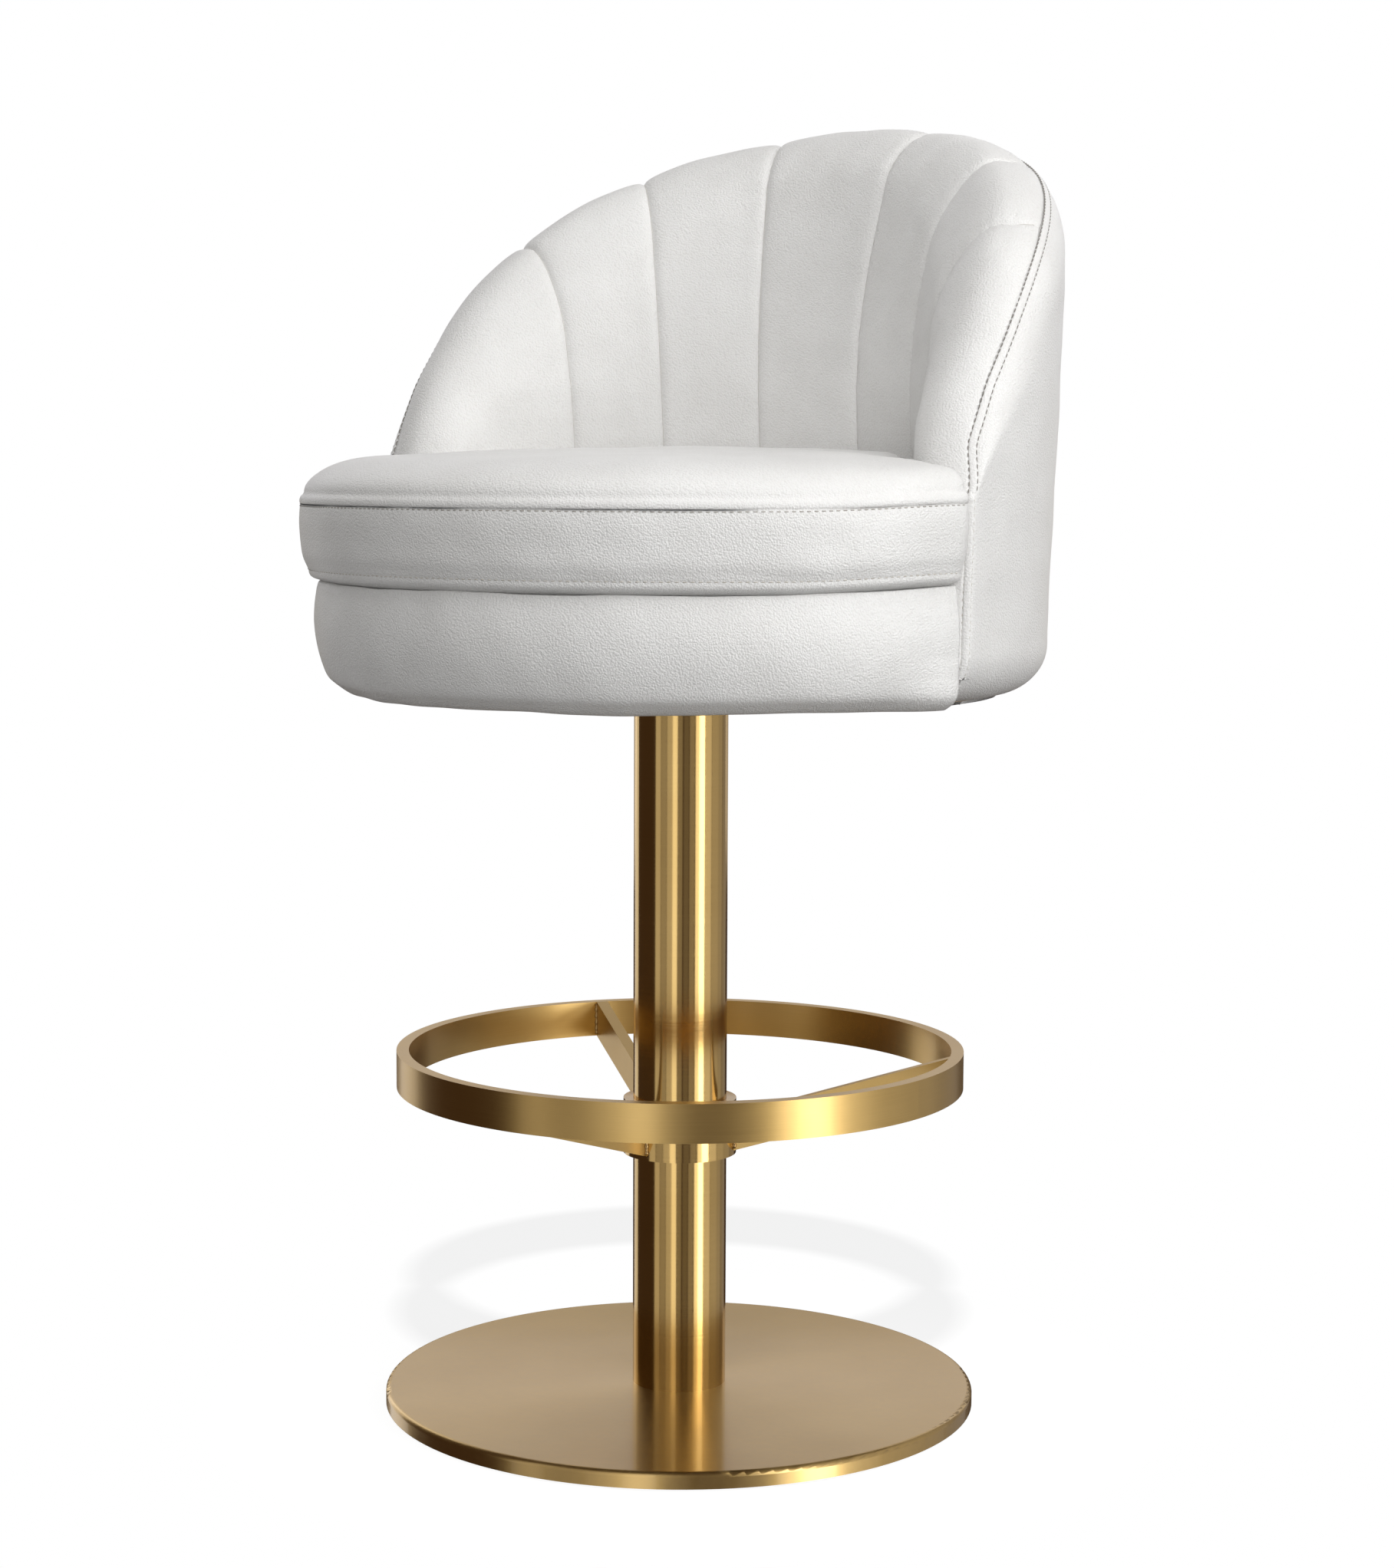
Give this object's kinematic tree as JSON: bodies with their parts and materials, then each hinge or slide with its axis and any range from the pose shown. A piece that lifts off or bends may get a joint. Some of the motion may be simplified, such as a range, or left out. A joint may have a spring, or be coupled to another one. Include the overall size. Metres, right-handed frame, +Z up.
{
  "type": "swivel bar stool",
  "caption": "Counter stool with a round channelled tub seat in white leathercloth, a brass column with a ring footrest on spokes, and a flat round base.",
  "frame": {"origin": "on the floor at the middle of the round base, under the column's axis", "axes": "+Z up along the column, the seat faces -Y, +X to the sitter's left hand side"},
  "size_m": [0.5998, 0.604, 1.047],
  "materials": {
    "brushed_brass": "satin brushed and lacquered",
    "dark_steel": "satin",
    "bright_steel": "zinc plated",
    "bush_plastic": "matte",
    "floor_pad": "matte",
    "plywood": "matte",
    "seat_foam": "matte",
    "black_cloth": "matte",
    "white_leathercloth": "satin pebble grain"
  },
  "bodies": {
    "base": {"base_plate": "brushed_brass", "base_floor_ring": "floor_pad", "base_screws": "bright_steel", "column_foot_plug": "bright_steel", "column_tube": "brushed_brass", "footrest_collar": "brushed_brass", "footrest_grub_screws": "dark_steel", "footrest_spoke_1": "brushed_brass", "footrest_spoke_2": "brushed_brass", "footrest_spoke_3": "brushed_brass", "footrest_ring": "brushed_brass", "swivel_housing": "dark_steel", "swivel_lower_bush": "bush_plastic", "swivel_upper_bush": "bush_plastic", "swivel_thrust_washer": "bush_plastic"},
    "seat": {"swivel_spindle": "bright_steel", "swivel_clip": "dark_steel", "seat_plate": "dark_steel", "seat_plate_bolts": "bright_steel", "seat_board_tee_nuts": "bright_steel", "seat_board": "plywood", "seat_drum_wall": "plywood", "seat_deck_board": "plywood", "seat_dust_cover": "black_cloth", "apron_foam": "seat_foam", "apron_cover": "white_leathercloth", "cushion_foam": "seat_foam", "cushion_top_cover": "white_leathercloth", "cushion_band": "white_leathercloth", "cushion_base_cloth": "black_cloth", "deck_strip": "white_leathercloth", "back_frame": "plywood", "back_frame_bolts": "bright_steel", "back_outer_foam": "seat_foam", "back_outer_cover": "white_leathercloth", "back_channel_1": "white_leathercloth", "back_channel_2": "white_leathercloth", "back_channel_3": "white_leathercloth", "back_channel_4": "white_leathercloth", "back_channel_5": "white_leathercloth", "back_channel_6": "white_leathercloth", "back_channel_7": "white_leathercloth"}
  },
  "joints": [
    {"name": "seat_swivel", "type": "hinge", "parent": "base", "child": "seat", "pos_m": [0, 0, 0.57], "axis": [0, 0, 1], "continuous": true}
  ]
}
